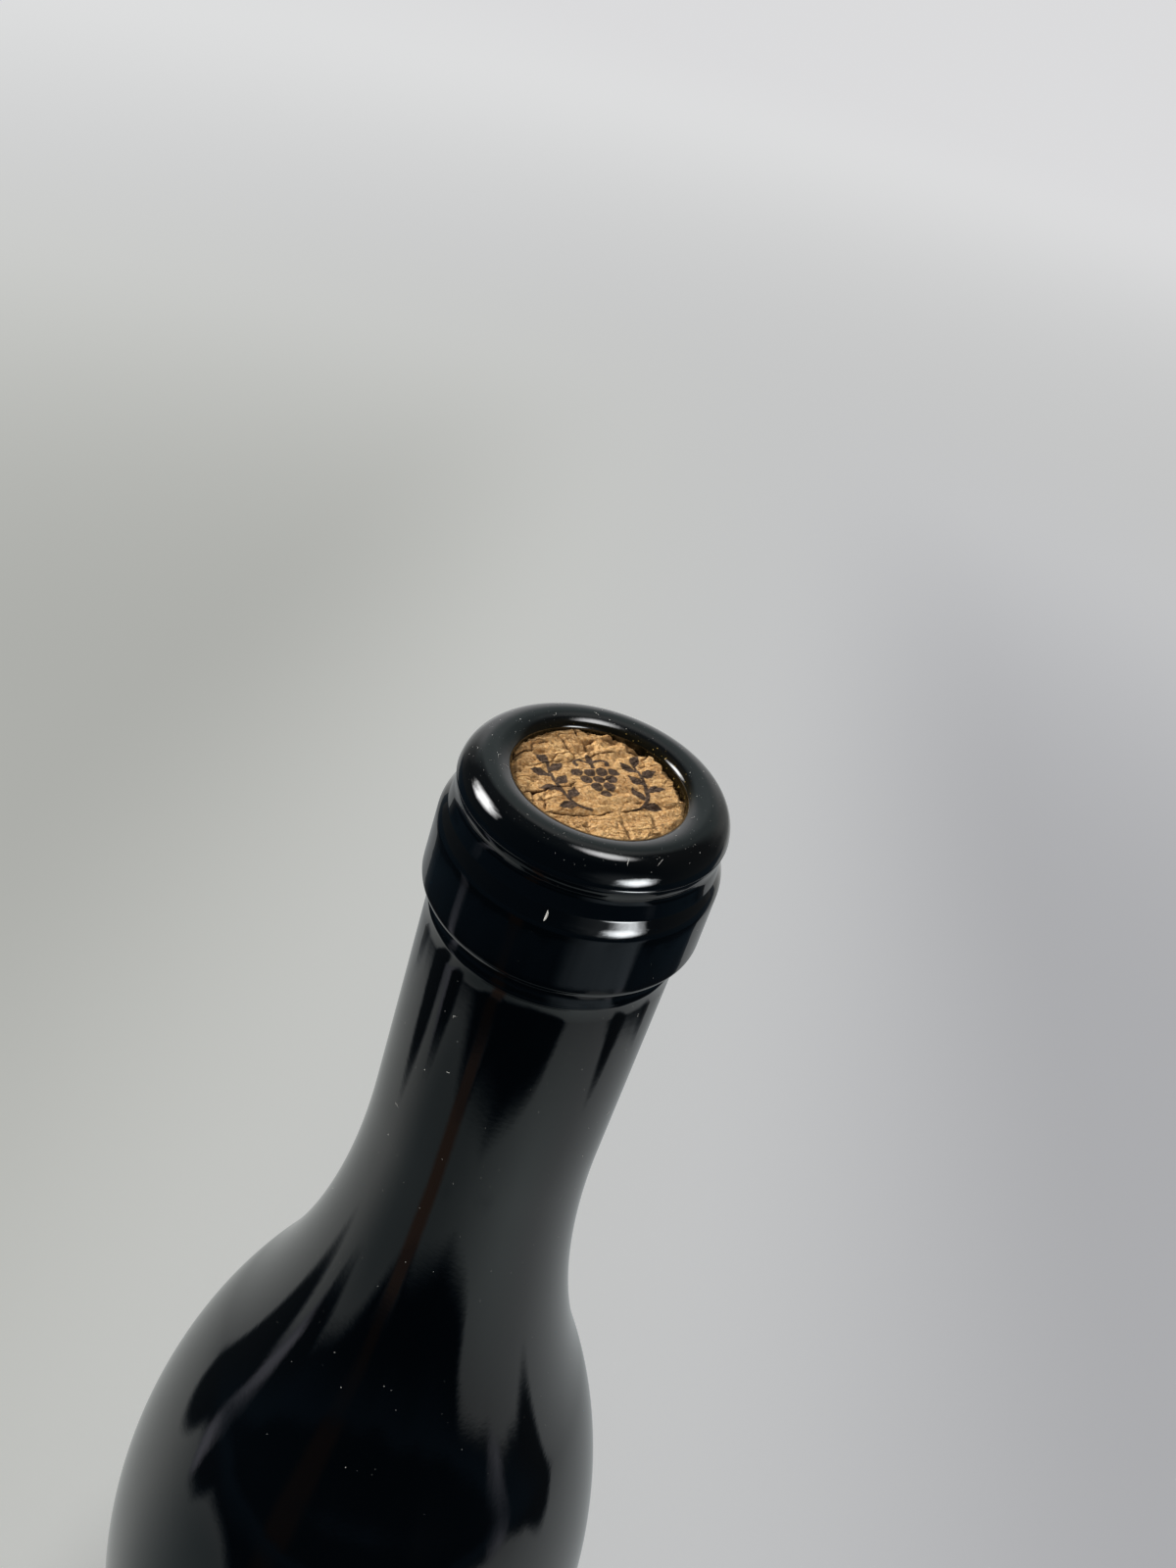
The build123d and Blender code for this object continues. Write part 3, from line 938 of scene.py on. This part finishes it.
def make_floor():
    """A wide pale floor under the bottle, in rings that widen with distance. Gloss doesn't show it."""
    rims = [FLOOR_RADIUS * (i / FLOOR_RINGS) ** 2.5 for i in range(1, FLOOR_RINGS + 1)]
    angles = [2 * pi * i / FLOOR_TURNS for i in range(FLOOR_TURNS)]
    points = [(r * cos(a), r * sin(a), 0.0) for r in rims for a in angles] + [(0.0, 0.0, 0.0)]
    after = [(i + 1) % FLOOR_TURNS for i in range(FLOOR_TURNS)]
    faces = [(len(points) - 1, i, after[i]) for i in range(FLOOR_TURNS)]
    for row in range(0, (FLOOR_RINGS - 1) * FLOOR_TURNS, FLOOR_TURNS):
        faces += [(row + i, row + FLOOR_TURNS + i, row + FLOOR_TURNS + after[i], row + after[i])
                  for i in range(FLOOR_TURNS)]
    floor = new_mesh("floor", points, faces)
    floor.location.z = -FLOOR_GAP * MM
    floor.data.materials.append(floor_material())
    floor.visible_glossy = False


def sheet_share(graph, azimuth, side, behind, away):
    """Where the sheet lies: inside its uneven border, and outside its holes and the bottle's foot."""
    border = graph.plus(graph.ease(side, 20, 52, 0.240, 0.298), graph.ease(behind, 128, 147, 0.0, 2.0))
    tongue = graph.times(span(graph, azimuth, 40, 78, 12), 0.034)
    notch = graph.times(span(graph, azimuth, -74, -61, 8), 0.040)
    border = graph.plus(border, graph.minus(tongue, notch))
    share = graph.ease(graph.minus(border, away), -0.014, 0.026)
    past_foot = graph.plus(away, graph.ease(side, 45, 75, 0, 0.2))
    share = graph.times(share, graph.ease(past_foot, 0.165, 0.195))
    for middle, half in SHEET_HOLES:
        hole = glow_patch(graph, azimuth, away, middle, half, 0.25)
        share = graph.times(share, graph.minus(1, hole))
    return share


def sheet_tone(graph, azimuth, side, behind, away):
    """The sheet's grey: dark in front on the left, and palest far behind the bottle."""
    tone = graph.mix(graph.ease(azimuth, -20, 55), (0.17, 0.20, 0.205), (0.435, 0.485, 0.485))
    side_tone = graph.mix(graph.ease(azimuth, -60, 60), (0.415, 0.43, 0.42), (0.36, 0.38, 0.385))
    tone = graph.mix(graph.ease(side, 48, 90), tone, side_tone)
    tone = graph.mix(graph.ease(away, 0.22, 0.33), tone, (0.318, 0.332, 0.336))
    far_tone = graph.mix(graph.ease(behind, 132, 170), (0.38, 0.39, 0.38), (0.86, 0.87, 0.86))
    return graph.mix(graph.ease(away, 0.42, 0.60), tone, far_tone)


def mirrored_floor_material():
    """A pale sheet crossed by a brown streak, and the dark floor beyond it."""
    material = bpy.data.materials.new("mirrored_floor")
    graph = Graph(material)
    place = graph.place()
    x, y, _ = graph.split(place)
    azimuth = around(graph, x, y)
    side = graph.math("ABSOLUTE", graph.plus(azimuth, 2))
    behind = graph.math("ABSOLUTE", graph.plus(azimuth, 1))
    wobble = graph.times(graph.minus(graph.noise(place, 9, 1.5, 0.5), 0.5), 0.05)
    away = graph.plus(graph.length(place), wobble)
    streak = span(graph, azimuth, -32, -20, 5)
    reach = graph.times(graph.ease(away, 0.29, 0.25, 0, 0.85), graph.ease(away, 0.15, 0.20, 0.30, 1.0))
    share = sheet_share(graph, azimuth, side, behind, away)
    share = graph.math("MAXIMUM", share, graph.times(streak, reach))
    tone = graph.mix(streak, sheet_tone(graph, azimuth, side, behind, away), (0.150, 0.092, 0.066))
    gap = graph.times(graph.ease(away, 0.355, 0.385), graph.ease(away, 0.53, 0.47))
    beyond = graph.mix(gap, (0.024, 0.044, 0.066), (0.006, 0.011, 0.017))
    beyond = graph.mix(graph.times(streak, gap), beyond, (0.052, 0.030, 0.020))
    shown = graph.math("MAXIMUM", share, graph.ease(away, 0.29, 0.38, 0.0, 0.7))
    glowing(graph, graph.mix(share, beyond, tone), shown)
    return material


def make_mirrored_floor():
    """What lies round the bottle's foot, for the glass to reflect: a flat disc."""
    angles = [2 * pi * i / MIRRORED_FLOOR_TURNS for i in range(MIRRORED_FLOOR_TURNS)]
    points = [(MIRRORED_FLOOR_RADIUS * cos(a), MIRRORED_FLOOR_RADIUS * sin(a), 0) for a in angles]
    sheet = new_mesh("mirrored_floor", points, [tuple(range(MIRRORED_FLOOR_TURNS))])
    sheet.location.z = -MIRRORED_FLOOR_GAP * MM
    sheet.data.materials.append(mirrored_floor_material())
    only_mirrored(sheet)


def card_material():
    """A pale, slightly uneven glow with soft borders."""
    material = bpy.data.materials.new("mirrored_card")
    graph = Graph(material)
    place = graph.place()
    x, y, z = graph.split(place)
    azimuth = around(graph, x, y)
    across = graph.times(graph.ease(azimuth, CARD_LOW_AZIMUTH, CARD_LOW_AZIMUTH + 24),
                         graph.ease(azimuth, CARD_HIGH_AZIMUTH, CARD_HIGH_AZIMUTH - 8))
    up = span(graph, z, (CARD_FOOT + 8) * MM, (CARD_TOP - 9) * MM, 15 * MM)
    uneven = graph.ease(graph.noise(place, 22, 2), 0.3, 0.7, 0.75, 1.0)
    glowing(graph, (0.25, 0.30, 0.34), graph.times(graph.times(across, up), uneven))
    return material


def make_mirrored_card():
    """A pale thing low in front on the right, for the collar to reflect: a curved strip."""
    width = CARD_HIGH_AZIMUTH - CARD_LOW_AZIMUTH
    azimuths = [CARD_LOW_AZIMUTH + width * i / CARD_STRIPS for i in range(CARD_STRIPS + 1)]
    points = [tuple(CARD_AWAY * direction(azimuth, 0) + Vector((0, 0, height)))
              for height in (CARD_FOOT, CARD_TOP) for azimuth in azimuths]
    above = CARD_STRIPS + 1
    faces = [(i, i + 1, above + i + 1, above + i) for i in range(CARD_STRIPS)]
    card = new_mesh("mirrored_card", points, faces)
    card.data.materials.append(card_material())
    only_mirrored(card)


def room_tone(graph, azimuth, side, elevation):
    """The dark room: dimmest in front and low down, with upright streaks below the level."""
    room = graph.mix(graph.ease(side, 30, 115), (0.018, 0.029, 0.042), (0.068, 0.072, 0.074))
    low_room = graph.mix(graph.ease(side, 30, 115), (0.004, 0.007, 0.012), (0.020, 0.022, 0.024))
    room = graph.mix(graph.ease(elevation, -15, -28), room, low_room)
    room = graph.mix(graph.ease(elevation, 50, 80), room, (0.060, 0.074, 0.082))
    for low, high, full, tone in STREAKS:
        streak = graph.times(span(graph, azimuth, low, high, 5), graph.ease(elevation, -24, full))
        room = graph.mix(streak, room, tone)
    return room


def add_wall(graph, room, azimuth, side, elevation):
    """Puts the pale wall behind the bottle into the room."""
    turn = graph.minus(side, graph.ease(elevation, 15, 55, 0, 17))
    wall = graph.times(graph.ease(turn, 121, 146), graph.ease(elevation, 80, 62))
    behind = graph.math("ABSOLUTE", graph.minus(azimuth, 8))
    tone = graph.mix(graph.ease(behind, 142, 170), (0.38, 0.39, 0.38), (0.97, 0.98, 0.99))
    right = span(graph, azimuth, 120, 172, 18)
    high_tone = graph.mix(right, (0.43, 0.50, 0.50), (0.27, 0.325, 0.325))
    high_tone = graph.mix(graph.ease(elevation, 46, 60), high_tone, (0.60, 0.63, 0.62))
    tone = graph.mix(graph.ease(elevation, 14, 36), tone, high_tone)
    return graph.mix(wall, room, tone)


def add_lights(graph, room, way, azimuth, elevation):
    """Puts the windows, their glare and the ceiling light into the room."""
    lights = [(glow_patch(graph, azimuth, elevation, middle, half, softness), tone)
              for middle, half, softness, tone in WINDOWS]
    middle, radius, softness, tone = CEILING_LIGHT
    lights.append((glow_disc(graph, way, middle, radius, softness), tone))
    for share, tone in lights:
        room = graph.mix(1.0, room, graph.mix(share, (0, 0, 0), tone), "ADD")
    return room


def make_world():
    """A plain backdrop to look at, even light for matt things, and a room for gloss to show."""
    world = bpy.data.worlds.new("room")
    bpy.context.scene.world = world
    world.cycles.sampling_method = "NONE"
    graph = Graph(world)
    way = graph.node("ShaderNodeTexCoord").outputs["Generated"]
    x, y, z = graph.split(way)
    wobble = graph.times(graph.minus(graph.noise(way, 4.0, 3), 0.5), 16)
    azimuth = graph.plus(around(graph, x, y), wobble)
    elevation = graph.plus(graph.times(graph.math("ARCSINE", z), 180 / pi), graph.times(wobble, 0.6))
    side = graph.math("ABSOLUTE", azimuth)
    room = room_tone(graph, azimuth, side, elevation)
    room = add_wall(graph, room, azimuth, side, elevation)
    room = add_lights(graph, room, way, azimuth, elevation)

    path = graph.node("ShaderNodeLightPath").outputs
    seen = graph.mix(path["Is Camera Ray"], AMBIENT, BACKDROP)
    seen = graph.mix(path["Is Glossy Ray"], seen, room)
    lit = graph.node("ShaderNodeBackground", {"Color": seen}).outputs[0]
    graph.node("ShaderNodeOutputWorld", {"Surface": lit})


def make_lamp(name, azimuth, elevation, wide, tall, glow):
    """A soft panel light, sized by the angles that it fills from the mouth. Gloss doesn't show it."""
    distance = LAMP_AWAY * MM
    light = bpy.data.lights.new(name, "AREA")
    light.shape = "RECTANGLE"
    light.size = 2 * distance * tan(radians(wide / 2))
    light.size_y = 2 * distance * tan(radians(tall / 2))
    light.energy = glow * pi * light.size * light.size_y
    lamp = bpy.data.objects.new(name, light)
    away = direction(azimuth, elevation)
    lamp.location = Vector((0, 0, LIP_TOP * MM)) + distance * away
    lamp.rotation_mode = "QUATERNION"
    lamp.rotation_quaternion = away.to_track_quat("Z", "Y")
    lamp.visible_camera = False
    lamp.visible_glossy = False
    bpy.context.scene.collection.objects.link(lamp)
    return lamp


def make_lamps(pieces):
    """The soft light of the two windows and the ceiling, which falls on the pieces only."""
    lamps = [
        make_lamp("window_left", -95, 24, 24, 24, 42),
        make_lamp("window_right", 50, 6, 34, 32, 10),
        make_lamp("ceiling", 115, 76, 24, 24, 5),
    ]
    lit = bpy.data.collections.new("lit_pieces")
    for piece in pieces:
        lit.objects.link(piece)
    for lamp in lamps:
        lamp.light_linking.receiver_collection = lit


def make_camera():
    """The camera looks down at the mouth, rolled so that the bottle leans to the right."""
    camera = bpy.data.objects.new("camera", bpy.data.cameras.new("camera"))
    camera.data.lens = CAMERA_LENS
    camera.data.clip_start = CAMERA_NEAR * MM
    camera.data.clip_end = CAMERA_FAR * MM
    camera.location = (0, -CAMERA_BACK * MM, (LIP_TOP + CAMERA_ABOVE_LIP) * MM)
    upright = (-direction(CAMERA_TURN, CAMERA_PITCH)).to_track_quat("-Z", "Y")
    camera.rotation_mode = "QUATERNION"
    camera.rotation_quaternion = upright @ Quaternion((0, 0, 1), radians(CAMERA_ROLL))
    bpy.context.scene.collection.objects.link(camera)
    bpy.context.scene.camera = camera


# --- The whole ---

glass = make_glass()
glass.data.materials.append(glass_material())
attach(glass, "root")
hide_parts("bottle")

cork = make_cork()
cork.data.materials.append(cork_material())
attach(cork, "root")
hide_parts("cork")

dust = make_dust()
dust.data.materials.append(dust_material())
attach(dust, "root")

make_floor()
make_mirrored_floor()
make_mirrored_card()
make_world()
make_lamps((glass, cork, dust))
make_camera()
bpy.context.scene.view_settings.view_transform = "Standard"
